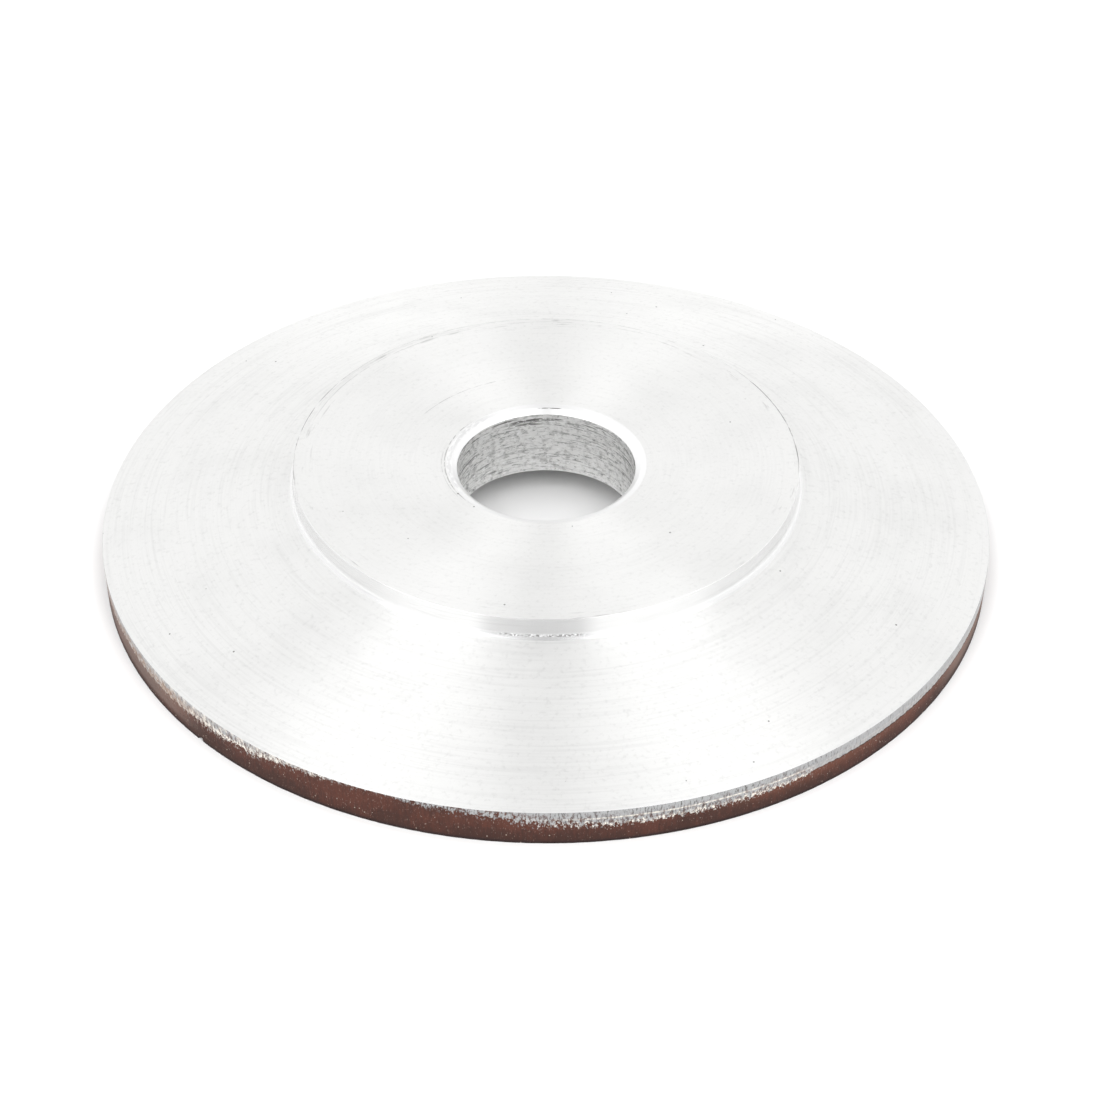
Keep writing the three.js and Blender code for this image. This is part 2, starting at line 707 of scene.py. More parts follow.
@dataclass(frozen=True)
class BossWall:
    """The boss's upright wall, turned with the tool's side, with painted shade on it in front.

    The tool chattered at the foot, which leaves a row of nicks there; in front they are drawn as
    painted shade and painted glints.

    Attributes:
        name: The material's name.
        colour: The wall.
        groove: The grey in its grooves.
        dull: The painted shade that darkens the wall in front.
        nick: The dark of a nick, the painted shade in the corner at the foot.
        sparkle: The painted glint on the bright side of a nick.
        foot: Height of the foot, in millimetres.
    """

    name: str = "turned_aluminium_boss_wall"
    colour: str = "f0f0f0"
    groove: str = "a5a4a2"
    dull: str = "9a9a9c"
    nick: str = "62605e"
    sparkle: str = "ffffff"
    foot: float = 10.85

    def build(self) -> bpy.types.Material:
        """Builds the material.

        Returns:
            The metal, with painted shade in front, and nicks along its foot drawn as painted shade and
            painted glints.
        """
        tree = MaterialTree(self.name)
        chatter = tree.streaks(tree.height, pitch=0.22, arcs=650.0, seed=5.0)
        # Painted shade and painted glints in the corner at the foot, in front only.
        at_foot = tree.product(
            tree.line(tree.height, self.foot, half_width=0.18),
            tree.sector(middle=269, half_width=11),
        )
        shaded_nicks = tree.product(at_foot, tree.ramp(chatter, low=0.46, high=0.6))
        glinting_nicks = tree.product(at_foot, tree.ramp(chatter, low=0.42, high=0.36))
        fine = tree.streaks(tree.height, pitch=0.3, arcs=20.0, seed=8.0)
        colour = tree.painted(
            self.colour,
            Coat(self.groove, tree.ramp(fine, low=0.5, high=0.8), strength=0.2),
            # Painted shade: the wall darker in front.
            Coat(self.dull, tree.sector(middle=268, half_width=14), strength=0.3),
            Coat(self.nick, shaded_nicks, strength=0.65),
            Coat(self.sparkle, glinting_nicks),
        )
        return tree.turned_metal(
            colour, roughness=0.26, anisotropy=0.95, relief=fine, depth=0.008 * MM
        )


@dataclass(frozen=True)
class GalledBore:
    """Bored aluminium that an arbor has been pushed through many times.

    The sliding fit leaves dark smears and scores round the bore and a dull grey wall.

    Attributes:
        name: The material's name.
        colour: The dull wall.
        smear: The dark of a galled streak.
        bright: Metal that the arbor has burnished.
    """

    name: str = "bored_aluminium_galled"
    colour: str = "f4f4f3"
    smear: str = "4a4846"
    bright: str = "ffffff"

    def build(self) -> bpy.types.Material:
        """Builds the material.

        Returns:
            The streaked wall.
        """
        tree = MaterialTree(self.name)
        scores = tree.streaks(tree.height, pitch=0.3, arcs=9.0, seed=4.0, detail=3.0)
        dashes = tree.streaks(tree.height, pitch=0.22, arcs=22.0, seed=17.0, detail=3.0)
        specks = tree.streaks(tree.height, pitch=0.2, arcs=110.0, seed=23.0, detail=4.0)
        grain = tree.clouds(size=0.7, seed=3.0, detail=5.0)
        upper = tree.ramp(tree.height, low=7.0, high=11.0, to_low=0.3)
        scored = tree.product(tree.ramp(scores, low=0.54, high=0.64), upper)
        colour = tree.painted(
            self.colour,
            Coat(self.smear, tree.ramp(grain, low=0.46, high=0.72), strength=0.4),
            Coat(self.smear, scored, strength=0.8),
            Coat(self.smear, tree.ramp(dashes, low=0.57, high=0.68), strength=0.6),
            Coat(self.smear, tree.ramp(specks, low=0.58, high=0.68), strength=0.6),
            Coat(self.bright, tree.ramp(specks, low=0.44, high=0.34)),
        )
        return tree.turned_metal(
            colour, roughness=0.5, anisotropy=0.5, relief=dashes, depth=0.02 * MM
        )


@dataclass(frozen=True)
class RimRun:
    """How far the resin runs up the rim at one place round the wheel.

    Attributes:
        angle: Degrees round from +X.
        height: Height of the resin's upper edge, in millimetres.
        ragged: Height of the teeth of that edge, in millimetres.
        flecks: Share of resin flecks above the edge and bare flecks below it, from 0 to 1.
        burr_and_highlight: How much bright metal the last cut smeared along the edge, and how strong
            the painted highlight line along the rim is, from 0 to 1.
    """

    angle: float
    height: float
    ragged: float = 0.15
    flecks: float = 0.1
    burr_and_highlight: float = 0.3


RIM_RUNS = (
    RimRun(0, 2.85),
    RimRun(40, 2.95),
    RimRun(62, 3.4, 0.4, 0.3),
    RimRun(84, 2.8),
    RimRun(125, 2.7, 0.3, 0.3, 0.8),
    RimRun(160, 2.9),
    RimRun(196, 2.95, 0.3, 0.7, 0.2),
    RimRun(215, 2.85, 0.3, 0.6, 0.5),
    RimRun(224, 2.95, 0.3, 0.7, 1.0),
    RimRun(231, 3.2, 0.4, 0.8, 1.0),
    RimRun(240.5, 4.2, 0.4, 0.8, 0.7),
    RimRun(248, 4.5, 0.3, 0.2, 0.0),
    RimRun(256, 4.1, 0.35, 0.9, 0.0),
    RimRun(265, 3.5, 0.2, 1.0, 0.0),
    RimRun(268, 3.0, 0.5, 1.0, 0.2),
    RimRun(274, 2.55, 0.5, 1.0, 0.6),
    RimRun(280, 2.4, 0.35, 0.8, 1.0),
    RimRun(303.5, 2.5, 0.35, 0.6, 1.0),
    RimRun(304.5, 2.86, 0.09, 0.15, 0.2),
    RimRun(359, 2.85, 0.09, 0.15, 0.2),
)


class Resin:
    """The brown phenolic resin of the ring, and where it covers the rim."""

    # The height, in millimetres, that a full colour channel of the ramp stands for.
    HEIGHT_UNIT = 5.0
    FRESH = "784a38"
    # The painted sheen that the resin shows on the flanks, where the view grazes the rim.
    GRAZING_SHEEN = "b8a79c"
    DUST = "a08c80"
    FLECK = "b8aa9e"
    # A dark line under the resin's edge, and the painted shade at the resin's foot.
    DARK_LINE_AND_FOOT_SHADE = "241a1a"

    def __init__(self, tree: MaterialTree) -> None:
        """Reads how far the resin runs up the rim.

        Args:
            tree: The tree to paint in.
        """
        self.tree = tree
        ramp = tree.add("ShaderNodeValToRGB", {0: tree.turn})
        stops = ramp.color_ramp.elements
        while len(stops) > 1:
            stops.remove(stops[-1])
        for number, run in enumerate(RIM_RUNS):
            stop = stops[0] if number == 0 else stops.new(run.angle / 360)
            stop.position = run.angle / 360
            stop.color = (run.height / self.HEIGHT_UNIT, run.ragged, run.flecks, run.burr_and_highlight)
        split = tree.add("ShaderNodeSeparateColor", {0: ramp.outputs[0]})
        self.flecks = split.outputs[2]
        self.burr_and_highlight = ramp.outputs["Alpha"]
        edge = tree.product(split.outputs[0], self.HEIGHT_UNIT)
        teeth = tree.upright(size=0.55, stretch=1.6, seed=0.0)
        swing = tree.ramp(teeth, low=0.3, high=0.7, to_low=-1.0)
        ragged_edge = tree.add(
            "ShaderNodeMath", {0: swing, 1: split.outputs[1], 2: edge}, operation="MULTIPLY_ADD"
        )
        self.above = tree.add(
            "ShaderNodeMath", {0: tree.height, 1: ragged_edge.outputs[0]}, operation="SUBTRACT"
        ).outputs[0]

    def cover(self) -> Socket:
        """Where resin, and not metal, shows on the rim.

        Returns:
            A mask, 1 on resin.
        """
        tree = self.tree
        solid = tree.ramp(self.above, low=0.03, high=-0.03)
        grain = tree.upright(size=0.2, stretch=2.5, seed=7.0, detail=3.0)
        bare = tree.product(
            tree.ramp(grain, low=0.55, high=0.62),
            tree.ramp(self.above, low=-0.9, high=-0.1),
            self.flecks,
        )
        spots = tree.upright(size=0.3, stretch=1.8, seed=13.0)
        smeared = tree.product(
            tree.ramp(spots, low=0.47, high=0.57),
            tree.ramp(self.above, low=2.1, high=0.3),
            self.flecks,
        )
        kept = tree.add("ShaderNodeMath", {0: solid, 1: bare}, operation="SUBTRACT")
        return tree.add(
            "ShaderNodeMath", {0: kept.outputs[0], 1: smeared}, operation="MAXIMUM", use_clamp=True
        ).outputs[0]

    def burr_and_highlight_mask(self) -> Socket:
        """Where the last cut left bright metal along the resin's edge, and a painted highlight line
        along the rim.

        Returns:
            A mask, 1 on burnished metal and on the painted highlight.
        """
        tree = self.tree
        teeth = tree.ramp(tree.upright(size=0.42, stretch=1.8, seed=29.0), low=0.44, high=0.54)
        along_edge = tree.product(tree.ramp(self.above, low=0.55, high=0.1), teeth)
        # Painted highlight: a bright line along the rim, 3.42 mm up, as strong as the burr value
        # there.
        ridge_highlight = tree.product(
            tree.line(tree.height, middle=3.42, half_width=0.16),
            tree.ramp(teeth, low=0.0, high=1.0, to_low=0.4, to_high=0.8),
        )
        either = tree.add("ShaderNodeMath", {0: along_edge, 1: ridge_highlight}, operation="MAXIMUM")
        return tree.product(either.outputs[0], self.burr_and_highlight)

    def _tone_and_foot_shade(self) -> Socket:
        """How dark the resin's brown is: its own uneven tone, with painted shade that darkens it
        towards its foot.

        Returns:
            A mask, 1 on the darker brown.
        """
        tree = self.tree
        grain = tree.upright(size=0.3, stretch=5.0, seed=3.0)
        patches = tree.clouds(size=5.0, seed=12.0)
        total = tree.add("ShaderNodeMath", {0: grain, 1: patches}, operation="ADD")
        # Painted shade: the brown darkens towards the foot and lightens towards the top, as the light
        # falls.
        lower = tree.ramp(tree.height, low=3.4, high=0.2, to_low=-0.1, to_high=0.16)
        total = tree.add("ShaderNodeMath", {0: total.outputs[0], 1: lower}, operation="ADD")
        return tree.ramp(total.outputs[0], low=0.75, high=1.25)

    def colour(self, light: str, dark: str) -> Socket:
        """The resin's own uneven brown, with dust, flecks, a dark line under its edge, a painted sheen
        on the flanks, and painted shade at its foot.

        Args:
            light: The lighter, redder brown.
            dark: The darker brown.

        Returns:
            A colour socket.
        """
        tree = self.tree
        fresh = tree.product(tree.ramp(tree.height, low=0.8, high=2.6), tree.sector(322, 34))
        # Painted sheen: the brown looks lighter on the flanks, where it reflects the white room at a
        # grazing angle.
        flanks = tree.add(
            "ShaderNodeMath", {0: tree.sector(198, 26), 1: tree.sector(348, 20)}, operation="MAXIMUM"
        )
        grazing_sheen = tree.product(flanks.outputs[0], tree.ramp(tree.height, low=0.5, high=1.4))
        dust = tree.upright(size=0.14, stretch=2.5, seed=45.0, detail=2.0)
        fleck = tree.upright(size=0.22, stretch=2.5, seed=61.0, detail=1.0)
        rule = tree.product(
            tree.line(self.above, middle=-0.07, half_width=0.13), tree.sector(332, 30)
        )
        return tree.painted(
            light,
            Coat(dark, self._tone_and_foot_shade()),
            Coat(self.FRESH, fresh, strength=0.35),
            Coat(self.GRAZING_SHEEN, grazing_sheen, strength=0.2),
            Coat(self.DUST, tree.ramp(dust, low=0.6, high=0.74), strength=0.4),
            Coat(self.FLECK, tree.ramp(fleck, low=0.735, high=0.79), strength=0.8),
            Coat(self.DARK_LINE_AND_FOOT_SHADE, rule, strength=0.8),
            # Painted shade: darker still at the very foot, where the floor shades it.
            Coat(self.DARK_LINE_AND_FOOT_SHADE, tree.ramp(tree.height, low=0.6, high=0.2), strength=0.8),
        )


@dataclass(frozen=True)
class RimBand:
    """The rim: rough-turned aluminium that the moulded resin has run up and been turned off again.

    The metal is dull with upright strokes, and it meets the brown resin in a ragged line.

    Attributes:
        name: The material's name.
        metal: The dull metal of the rim.
        bright: Metal that the last cut smeared along the resin's edge, and a painted highlight line
            along the rim.
        stroke: Dark upright strokes that grinding left in the metal.
        varnish: Thin resin left over the metal on the wheel's left side.
        resin_light: The lighter brown.
        resin_dark: The darker brown.
    """

    name: str
    metal: str = "b2b3b4"
    bright: str = "f8f2e8"
    stroke: str = "5c5b5a"
    varnish: str = "a08672"
    resin_light: str = "532f25"
    resin_dark: str = "3f2620"

    def build(self) -> bpy.types.Material:
        """Builds the material.

        Returns:
            Metal above and resin below, with a ragged line between them.
        """
        tree = MaterialTree(self.name)
        resin = Resin(tree)
        cover = resin.cover()
        strokes = tree.upright(size=0.2, stretch=3.5, seed=21.0)
        worn = tree.ramp(tree.sector(264, 50), low=0.0, high=1.0, to_low=0.5, to_high=0.9)
        scours = tree.upright(size=0.6, stretch=1.6, seed=77.0)
        scoured = tree.product(tree.ramp(scours, low=0.44, high=0.6), tree.sector(227, 18))
        film = tree.upright(size=0.5, stretch=1.2, seed=33.0)
        thin = tree.product(
            tree.ramp(film, low=0.36, high=0.56),
            tree.sector(200, 26),
            tree.ramp(resin.above, low=1.6, high=0.6),
        )
        colour = tree.painted(
            self.metal,
            Coat(self.stroke, tree.product(tree.ramp(strokes, low=0.5, high=0.66), worn)),
            Coat(self.bright, scoured, strength=0.6),
            Coat(self.bright, resin.burr_and_highlight_mask()),
            Coat(self.varnish, thin, strength=0.8),
            Coat(resin.colour(self.resin_light, self.resin_dark), cover),
        )
        metallic = tree.add("ShaderNodeMath", {0: 1.0, 1: cover}, operation="SUBTRACT")
        return tree.surface(
            {
                "Base Color": colour,
                "Metallic": metallic.outputs[0],
                "Roughness": tree.ramp(cover, low=0.0, high=1.0, to_low=0.45, to_high=0.7),
                "Specular IOR Level": 0.25,
            },
            relief=strokes,
            depth=0.01 * MM,
        )


@dataclass(frozen=True)
class DiamondBond:
    """Phenolic resin packed with diamond grit, ground true.

    The bond is dark brown and dull, and the cut grains show as small light specks.

    Attributes:
        name: The material's name.
        resin_light: The lighter brown.
        resin_dark: The darker brown.
        pore: The dark of a pore where a grain has broken out.
        grit: A cut grain that catches the light.
        grain: Size of the grit, in millimetres. Real D126 grit is 0.125 mm.
    """

    name: str = "diamond_resin_bond_ground"
    resin_light: str = "512e25"
    resin_dark: str = "3d2620"
    pore: str = "2c1d1a"
    grit: str = "a89a8c"
    grain: float = 0.125

    def build(self) -> bpy.types.Material:
        """Builds the material.

        Returns:
            The gritty brown bond, with the most grit showing on the grinding face.
        """
        tree = MaterialTree(self.name)
        resin = Resin(tree)
        cell = 4 * self.grain
        pores = tree.pits(cell, size=0.9 * self.grain, kept=0.4, seed=2.0)
        grit = tree.pits(cell, size=0.7 * self.grain, kept=0.14, seed=8.0)
        cut_grains = tree.clouds(2.4 * self.grain, seed=19.0, detail=2.0)
        trued = tree.product(
            tree.ramp(cut_grains, low=0.48, high=0.68), tree.ramp(tree.height, low=0.1, high=0.02)
        )
        colour = tree.painted(
            resin.colour(self.resin_light, self.resin_dark),
            Coat(self.pore, pores, strength=0.6),
            Coat(self.grit, trued, strength=0.45),
            Coat(self.grit, grit),
        )
        return tree.surface(
            {"Base Color": colour, "Metallic": 0.0, "Roughness": 0.7, "Specular IOR Level": 0.25},
            relief=tree.clouds(self.grain, seed=40.0, detail=2.0),
            depth=0.02 * MM,
        )


# The wheel's pieces


class BodyZone(Enum):
    """Surfaces of the body that are finished in different ways, by material number."""

    CONE = 0
    BOSS_FACE = 1
    CHAMFER = 2
    BORE = 3
    RIM = 4
    BACK = 5
    BOSS_WALL = 6


RING_INNER_RADIUS = 45 * MM

# How far a face of the body may look up, as its normal's Z, and still belong to that surface.
BORE_SLOPE = 0.3
RIM_SLOPE = 0.7
BACK_SLOPE = -0.2
WALL_SLOPE = 0.9
FLAT = 0.99

# The first three, along the boss's rounded edge, are painted shade; the rest are single marks.
BOSS_MARKS_AND_EDGE_SHADE = (
    ArcMark(28.26, 0.16, 18, 24, 0.75),
    ArcMark(28.26, 0.14, 168, 28, 0.6),
    ArcMark(28.2, 0.12, 112, 60, 0.25),
    ArcMark(27.5, 0.2, 135, 32, 0.2),
    ArcMark(27.9, 0.7, 135, 35, 0.08),
    ArcMark(27.6, 0.16, 84, 18, 0.16),
    ArcMark(16.6, 0.16, 127, 24, 0.3),
    ArcMark(11.38, 0.2, 180, 48, 0.4),
    ArcMark(11.7, 0.14, 190, 30, 0.2),
)
# The first is a single mark; the second is painted shade on the chamfer's left side.
CHAMFER_MARKS_AND_SHADE = (
    ArcMark(10.6, 0.14, 88, 8, 0.9),
    ArcMark(10.9, 0.9, 168, 52, 0.16),
)


@dataclass(frozen=True)
class DovetailKey:
    """The dovetail groove in the body's seat and the rib on the backing that fills it.

    Attributes:
        radius: Middle of the key.
        depth: Depth of the groove.
        mouth: Width at the seat.
        root: Width at the bottom of the groove.
    """

    radius: float = 47.5 * MM
    depth: float = 0.8 * MM
    mouth: float = 1.6 * MM
    root: float = 2.2 * MM

    def corners(self, seat: float, outwards_first: bool) -> list[Corner]:
        """The key's corners across the seat.

        Args:
            seat: Height of the seat.
            outwards_first: True to run inwards, from the outer side of the key.

        Returns:
            Four corners.
        """
        side = 1 if outwards_first else -1
        return [
            Corner(self.radius + side * self.mouth / 2, seat),
            Corner(self.radius + side * self.root / 2, seat + self.depth),
            Corner(self.radius - side * self.root / 2, seat + self.depth),
            Corner(self.radius - side * self.mouth / 2, seat),
        ]


@dataclass
class WheelBody:
    """The turned aluminium body: boss, bore, cone, rim, and the recess behind.

    Attributes:
        radius: Outer radius at the rim's top edge.
        top: Height of the boss face.
        seat: Height of the seat of the ring.
        seat_radius: Outer radius at the seat.
        hub_back: Height of the hub's back face.
        bore_radius: Radius of the bore.
        boss_radius: Radius of the boss.
        boss_fillet: Radius of the fillet at the boss's foot.
        front_chamfer_width: Width of the bore's front chamfer.
        front_chamfer_depth: Depth of that chamfer.
        broken_edge_width: How far outside the bore the chamfer turns steeper.
        broken_edge_depth: How far above the chamfer's foot it does so.
        back_chamfer: Width and depth of the bore's back chamfer.
        rim_height: Height of the rim's top edge.
        cone_angle: Fall of the cone, in radians.
        ring_inner_radius: Inner radius of the ring, where the flank meets the seat.
        edge_rounding: Radius of the edges that the tool only broke.
        chamfer_rounding: Radius of the front chamfer's edges.
        recess_fillet: Radius of the fillet in the recess.
        wave_length: Length of the faint waves on the cone.
        wave_depth: Depth of those waves.
        steps: Faces round the body.
        key: The dovetail that holds the ring.
    """

    # How far from its own radius a face still belongs to the bore, or to the boss's wall.
    BORE_MARGIN: ClassVar[float] = 0.04 * MM
    WALL_MARGIN: ClassVar[float] = 0.1 * MM
    # How far from the boss and from the rim the waves start.
    CONE_MARGINS: ClassVar[tuple[float, float]] = (2 * MM, 1 * MM)
    WAVE_SEED: ClassVar[tuple[float, float]] = (3.0, 7.0)

    radius: float
    top: float
    seat: float
    seat_radius: float
    hub_back: float
    bore_radius: float = 10 * MM
    boss_radius: float = 28.35 * MM
    boss_fillet: float = 0.8 * MM
    front_chamfer_width: float = 1.24 * MM
    front_chamfer_depth: float = 0.64 * MM
    broken_edge_width: float = 0.6 * MM
    broken_edge_depth: float = 0.48 * MM
    back_chamfer: float = 0.4 * MM
    rim_height: float = 4.43 * MM
    cone_angle: float = math.radians(15.7)
    ring_inner_radius: float = RING_INNER_RADIUS
    edge_rounding: float = 0.06 * MM
    chamfer_rounding: float = 0.3 * MM
    recess_fillet: float = 0.8 * MM
    wave_length: float = 1.1 * MM
    wave_depth: float = 0.008 * MM
    steps: int = 512
    key: DovetailKey = field(default_factory=DovetailKey)

    def _corners(self) -> list[Corner]:
        """The profile, from the foot of the rim over the cone and the boss to the back.

        Returns:
            The corners, in order.
        """
        foot = self.rim_height + (self.radius - self.boss_radius) * math.tan(self.cone_angle)
        flank_run = (self.hub_back - self.seat) / math.tan(self.cone_angle)
        chamfer_foot = self.top - self.front_chamfer_depth
        edge = self.edge_rounding
        return [
            Corner(self.seat_radius, self.seat, spacing=0.4 * MM),
            Corner(self.radius, self.rim_height, edge, spacing=0.6 * MM),
            Corner(self.boss_radius, foot, self.boss_fillet, spacing=0.7 * MM),
            Corner(self.boss_radius, self.top, rounding=0.08 * MM, spacing=0.8 * MM),
            Corner(
                self.bore_radius + self.front_chamfer_width, self.top,
                self.chamfer_rounding, spacing=0.4 * MM,
            ),
            Corner(
                self.bore_radius + self.broken_edge_width, chamfer_foot + self.broken_edge_depth,
                self.chamfer_rounding, spacing=0.4 * MM,
            ),
            Corner(self.bore_radius, chamfer_foot, edge, spacing=1.2 * MM),
            Corner(
                self.bore_radius, self.hub_back + self.back_chamfer,
                rounding=0.05 * MM, spacing=0.4 * MM,
            ),
            Corner(
                self.bore_radius + self.back_chamfer, self.hub_back,
                rounding=0.05 * MM, spacing=1.5 * MM,
            ),
            Corner(
                self.ring_inner_radius - flank_run, self.hub_back,
                self.recess_fillet, spacing=1.2 * MM,
            ),
            Corner(self.ring_inner_radius, self.seat),
            *self.key.corners(self.seat, outwards_first=False),
        ]

    def _tool_marks(self, point: Vector) -> Vector:
        """Gives the cone the faint waves that the tool's chatter left.

        Args:
            point: A point of the profile.

        Returns:
            The point, moved a few thousandths of a millimetre down.
        """
        inner, outer = self.CONE_MARGINS
        between = self.boss_radius + inner < point.x < self.radius - outer
        if not (between and point.z > self.rim_height):
            return point
        wave = noise.noise(Vector((point.x / self.wave_length, *self.WAVE_SEED)))
        return point - Vector((0, 0, self.wave_depth * (1 + wave) / 2))

    def _zone(self, face: bmesh.types.BMFace) -> BodyZone:
        """Finds which surface a face belongs to.

        Args:
            face: A face of the body.

        Returns:
            Its zone.
        """
        centre = face.calc_center_median()
        radius = math.hypot(centre.x, centre.y)
        upwards = face.normal.z
        if radius < self.bore_radius + self.BORE_MARGIN and abs(upwards) < BORE_SLOPE:
            return BodyZone.BORE
        if radius > self.ring_inner_radius and abs(upwards) < RIM_SLOPE and centre.z > self.seat:
            return BodyZone.RIM
        if upwards < BACK_SLOPE:
            return BodyZone.BACK
        if radius < self.bore_radius + self.front_chamfer_width and upwards < FLAT:
            return BodyZone.CHAMFER
        at_wall = radius > self.boss_radius - self.WALL_MARGIN and centre.z > self.rim_height
        if at_wall and abs(upwards) < WALL_SLOPE:
            return BodyZone.BOSS_WALL
        if radius < self.boss_radius:
            return BodyZone.BOSS_FACE
        return BodyZone.CONE

    def build(self) -> bpy.types.Object:
        """Builds and dresses the body.

        Returns:
            The body's object.
        """
        bm = TurnedMesh(self._corners(), self.steps).build(self._tool_marks)
        for face in bm.faces:
            face.material_index = self._zone(face).value
        finishes = {
            BodyZone.CONE: TurnedAluminium("turned_aluminium_cone", seed=2.0),
            BodyZone.BOSS_FACE: TurnedAluminium(
                "turned_aluminium_boss", colour="fefefd", groove_tint=0.04, cloud_tint=0.06,
                scratch_tint=0.28, marks=BOSS_MARKS_AND_EDGE_SHADE, seed=50.0,
            ),
            BodyZone.CHAMFER: TurnedAluminium(
                "turned_aluminium_chamfer", colour="ffffff", roughness=0.34, anisotropy=0.8,
                groove_tint=0.04, cloud_tint=0.02, marks=CHAMFER_MARKS_AND_SHADE, seed=9.0,
            ),
            BodyZone.BORE: GalledBore(),
            BodyZone.RIM: RimBand("rim_aluminium_with_resin_run"),
            BodyZone.BACK: TurnedAluminium(
                "turned_aluminium_back", pitch=0.4, groove_tint=0.2, seed=80.0
            ),
            BodyZone.BOSS_WALL: BossWall(),
        }
        materials = [finishes[zone].build() for zone in BodyZone]
        return finish_piece(bm, "turned_body", "wheel_body", materials)


@dataclass(kw_only=True)
class ResinRing:
    """A moulded ring whose outer side carries on the rim's draft.

    Attributes:
        bottom: Height of its lower face.
        top: Height of its upper face.
        bottom_radius: Outer radius at the bottom.
        top_radius: Outer radius at the top.
        inner_radius: Inner radius.
    """

    bottom: float
    top: float
    bottom_radius: float
    top_radius: float
    inner_radius: float = RING_INNER_RADIUS


@dataclass(kw_only=True)
class BackingRing(ResinRing):
    """The diamond-free resin ring between the body and the diamond layer.

    Attributes:
        steps: Faces round the ring.
        key: The rib that fills the body's groove.
    """

    steps: int = 1024
    key: DovetailKey = field(default_factory=DovetailKey)

    def build(self) -> bpy.types.Object:
        """Builds and dresses the backing.

        Returns:
            The ring's object.
        """
        corners = [
            Corner(self.bottom_radius, self.bottom, spacing=0.2 * MM),
            Corner(self.top_radius, self.top),
            *self.key.corners(self.top, outwards_first=True),
            Corner(self.inner_radius, self.top, spacing=0.4 * MM),
            Corner(self.inner_radius, self.bottom, spacing=1.2 * MM),
        ]
        bm = TurnedMesh(corners, self.steps).build()
        material = RimBand("backing_resin_turned").build()
        return finish_piece(bm, "resin_backing", "backing_ring", [material])


@dataclass(kw_only=True)
class DiamondRing(ResinRing):
    """The diamond layer, with the small chips that its lower edge has picked up.

    Attributes:
        steps: Faces round the ring.
        edge_rounding: Radius of the worn edges of the grinding face.
        wear_reach: How far from the outer edge its wear reaches.
        coarse_chip: Width of the larger chips.
        fine_chip: Width of the smaller chips.
        fine_share: Depth of the smaller chips against the larger ones.
        chip_depth: Depth of the chips.
        nick_angle: Where the one nick is, in radians from +X.
        nick_width: Its width.
        nick_depth: Its depth.
    """

    steps: int = 1440
    edge_rounding: float = 0.06 * MM
    wear_reach: float = 0.5 * MM
    coarse_chip: float = 0.9 * MM
    fine_chip: float = 0.35 * MM
    fine_share: float = 0.6
    chip_depth: float = 0.02 * MM
    nick_angle: float = math.radians(221.8)
    nick_width: float = 0.7 * MM
    nick_depth: float = 0.42 * MM

    def _wear(self, bm: bmesh.types.BMesh) -> None:
        """Chips the lower outer edge lightly all round and cuts one nick in it.

        Args:
            bm: The turned ring.
        """
        for vert in bm.verts:
            radius = math.hypot(vert.co.x, vert.co.y)
            from_edge = math.hypot(self.bottom_radius - radius, vert.co.z - self.bottom)
            if from_edge > self.wear_reach:
                continue
            near = 1 - from_edge / self.wear_reach
            rough = noise.noise(vert.co / self.coarse_chip)
            rough += self.fine_share * noise.noise(vert.co / self.fine_chip)
            chip = self.chip_depth * near * max(0.0, rough)
            angle = math.atan2(vert.co.y, vert.co.x) % FULL_TURN
            away = abs(angle - self.nick_angle) * radius
            nick = self.nick_depth * near * max(0.0, 1 - 2 * away / self.nick_width)
            inwards = Vector((-vert.co.x, -vert.co.y, 0)).normalized()
            vert.co += (inwards + Vector((0, 0, 1))) * (chip + nick)

    def build(self) -> bpy.types.Object:
        """Builds and dresses the diamond layer.

        Returns:
            The ring's object.
        """
        corners = [
            Corner(self.bottom_radius, self.bottom, self.edge_rounding, spacing=0.15 * MM),
            Corner(self.top_radius, self.top, spacing=2 * MM),
            Corner(self.inner_radius, self.top, spacing=0.5 * MM),
            Corner(self.inner_radius, self.bottom, self.edge_rounding, spacing=0.5 * MM),
        ]
        bm = TurnedMesh(corners, self.steps, arc_segments=4).build()
        self._wear(bm)
        material = DiamondBond().build()
        return finish_piece(bm, "diamond_layer", "diamond_ring", [material])


# Studio


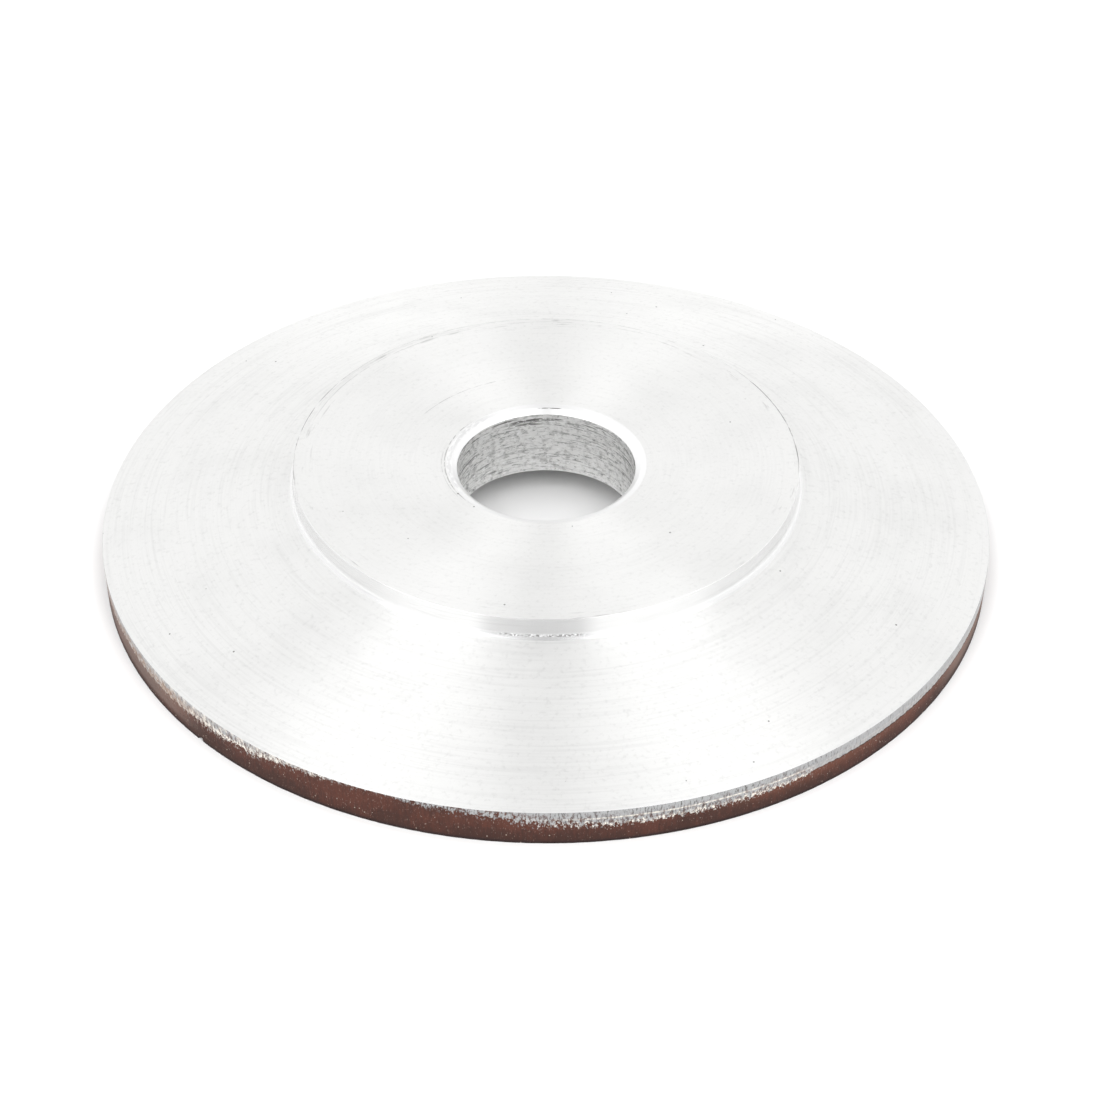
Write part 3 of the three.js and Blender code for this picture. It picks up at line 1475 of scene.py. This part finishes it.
@dataclass
class Studio:
    """A pale floor, soft light and the camera.

    Attributes:
        elevation: How far the camera looks down, in radians.
        roll: How far the camera leans to its left, in radians.
        distance: From the camera's plane to the origin.
        aside: How far right of the axis the camera stands.
        raised: How far above the line through the origin it stands, across its view.
        lens: Focal length, in millimetres.
        sensor: Width of the sensor, in millimetres.
        near: Where the view starts.
        room_white: The room's colour.
        world_level: Brightness of the room.
        gap_level: Brightness of the strip straight behind, above and in front.
        gap_width: Half width of that strip, as the X of a direction.
        floor_white: The floor's colour.
        floor_side: Length of the floor's sides.
        lamp_distance: From the wheel to each lamp.
        lamp_elevation: How high the lamps stand, in radians.
        box_azimuth: How far to either side of the camera the softboxes stand, in radians.
        box_size: Width and height of a softbox.
        box_radiance: Brightness of a softbox.
        fill_size: Width and height of the fill light over the camera.
        fill_radiance: Brightness of the fill light.
    """

    elevation: float = math.radians(37.55)
    roll: float = math.radians(0.28)
    distance: float = 506.2 * MM
    aside: float = 0.474 * MM
    raised: float = 0.484 * MM
    lens: float = 145.7
    sensor: float = 36.0
    near: float = 0.01
    room_white: str = "ffffff"
    world_level: float = 1.07
    gap_level: float = 0.82
    gap_width: float = 0.2
    floor_white: str = "f4f4f4"
    floor_side: float = 20.0
    lamp_distance: float = 1.2
    lamp_elevation: float = math.radians(50)
    box_azimuth: float = math.radians(50)
    box_size: tuple[float, float] = (0.95, 0.75)
    box_radiance: float = 0.8
    fill_size: tuple[float, float] = (0.9, 0.42)
    fill_radiance: float = 5.2

    def camera(self) -> None:
        """Sets up the camera."""
        data = bpy.data.cameras.new("camera")
        data.lens = self.lens
        data.sensor_width = self.sensor
        data.clip_start = self.near
        camera = bpy.data.objects.new("camera", data)
        bpy.context.scene.collection.objects.link(camera)
        right = Vector((1, 0, 0))
        up = Vector((0, math.sin(self.elevation), math.cos(self.elevation)))
        back = Vector((0, -math.cos(self.elevation), math.sin(self.elevation)))
        place = back * self.distance + right * self.aside + up * self.raised
        turned = Matrix((right, up, back)).transposed().to_4x4() @ Matrix.Rotation(self.roll, 4, "Z")
        camera.matrix_world = Matrix.Translation(place) @ turned
        bpy.context.scene.camera = camera

    def floor(self) -> None:
        """Lays the floor, a matt white laminate."""
        bm = bmesh.new()
        bmesh.ops.create_grid(bm, x_segments=1, y_segments=1, size=self.floor_side / 2)
        mesh = bpy.data.meshes.new("floor")
        bm.to_mesh(mesh)
        bm.free()
        floor = bpy.data.objects.new("floor", mesh)
        bpy.context.scene.collection.objects.link(floor)
        material = bpy.data.materials.new("white_matt_laminate")
        material.use_nodes = True
        shader = material.node_tree.nodes["Principled BSDF"]
        shader.inputs["Base Color"].default_value = linear(self.floor_white)
        shader.inputs["Roughness"].default_value = 0.9
        shader.inputs["Specular IOR Level"].default_value = 0.0
        mesh.materials.append(material)

    def room(self) -> None:
        """Makes the even white room, with a dimmer strip over the wheel from front to back."""
        world = bpy.data.worlds.new("white_room")
        world.use_nodes = True
        add = partial(add_node, world.node_tree)
        direction = add("ShaderNodeTexCoord").outputs["Generated"]
        split = add("ShaderNodeSeparateXYZ", {0: direction})
        aside = add("ShaderNodeMath", {0: split.outputs["X"]}, operation="ABSOLUTE")
        level = add(
            "ShaderNodeMapRange",
            {
                "Value": aside.outputs[0],
                "From Max": self.gap_width,
                "To Min": self.gap_level,
                "To Max": self.world_level,
            },
            interpolation_type="SMOOTHSTEP",
        )
        sky = world.node_tree.nodes["Background"]
        sky.inputs["Color"].default_value = linear(self.room_white)
        world.node_tree.links.new(level.outputs["Result"], sky.inputs["Strength"])
        bpy.context.scene.world = world

    def _lamp(
        self, name: str, azimuth: float, size: tuple[float, float], radiance: float
    ) -> bpy.types.Object:
        """Stands one soft lamp on the camera's side, aimed at the wheel.

        Args:
            name: The lamp's name.
            azimuth: How far to the right of the camera it stands, in radians.
            size: Width and height of its front.
            radiance: Brightness of its front.

        Returns:
            The lamp.
        """
        data = bpy.data.lights.new(name, "AREA")
        data.shape = "RECTANGLE"
        data.size, data.size_y = size
        data.energy = math.pi * data.size * data.size_y * radiance
        lamp = bpy.data.objects.new(name, data)
        level = math.cos(self.lamp_elevation)
        towards = Vector(
            (math.sin(azimuth) * level, -math.cos(azimuth) * level, math.sin(self.lamp_elevation))
        )
        turned = towards.to_track_quat("Z", "Y").to_matrix().to_4x4()
        lamp.matrix_world = Matrix.Translation(towards * self.lamp_distance) @ turned
        bpy.context.scene.collection.objects.link(lamp)
        return lamp

    def lights(self) -> None:
        """Stands a softbox on either side of the camera and a fill light over it."""
        self._lamp("softbox_left", -self.box_azimuth, self.box_size, self.box_radiance)
        self._lamp("softbox_right", self.box_azimuth, self.box_size, self.box_radiance)
        fill = self._lamp("fill", 0.0, self.fill_size, self.fill_radiance)
        fill.visible_glossy = False

    def build(self) -> None:
        """Builds the whole studio and shows colours as they are."""
        self.camera()
        self.floor()
        self.room()
        self.lights()
        bpy.context.scene.view_settings.view_transform = "Standard"


def mount_height(record: dict, name: str) -> float:
    """Height of a mount.

    Args:
        record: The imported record.
        name: The mount's name.

    Returns:
        Its Z, in metres.
    """
    return next(mount["pos_m"][2] for mount in record["mounts"] if mount["name"] == name)


def main() -> None:
    """Builds the studio and the wheel's pieces in order."""
    logging.basicConfig(level=logging.INFO, format="%(name)s: %(message)s")
    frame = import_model()
    Studio().build()
    body_low, body_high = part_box("wheel_body")
    backing_low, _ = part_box("backing_ring")
    diamond_low, diamond_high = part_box("diamond_ring")
    seat = body_low.z
    draft = (body_high.x - diamond_high.x) / (WheelBody.rim_height - diamond_high.z)
    foot_radius = body_high.x - draft * WheelBody.rim_height
    seat_radius = foot_radius + draft * seat
    WheelBody(
        radius=body_high.x,
        top=body_high.z,
        seat=seat,
        seat_radius=seat_radius,
        hub_back=mount_height(frame["record"], "hub_back_face"),
    ).build()
    BackingRing(
        bottom=backing_low.z,
        top=seat,
        bottom_radius=diamond_high.x,
        top_radius=seat_radius,
    ).build()
    DiamondRing(
        bottom=diamond_low.z,
        top=diamond_high.z,
        bottom_radius=foot_radius,
        top_radius=diamond_high.x,
    ).build()


if __name__ == "__main__":
    main()
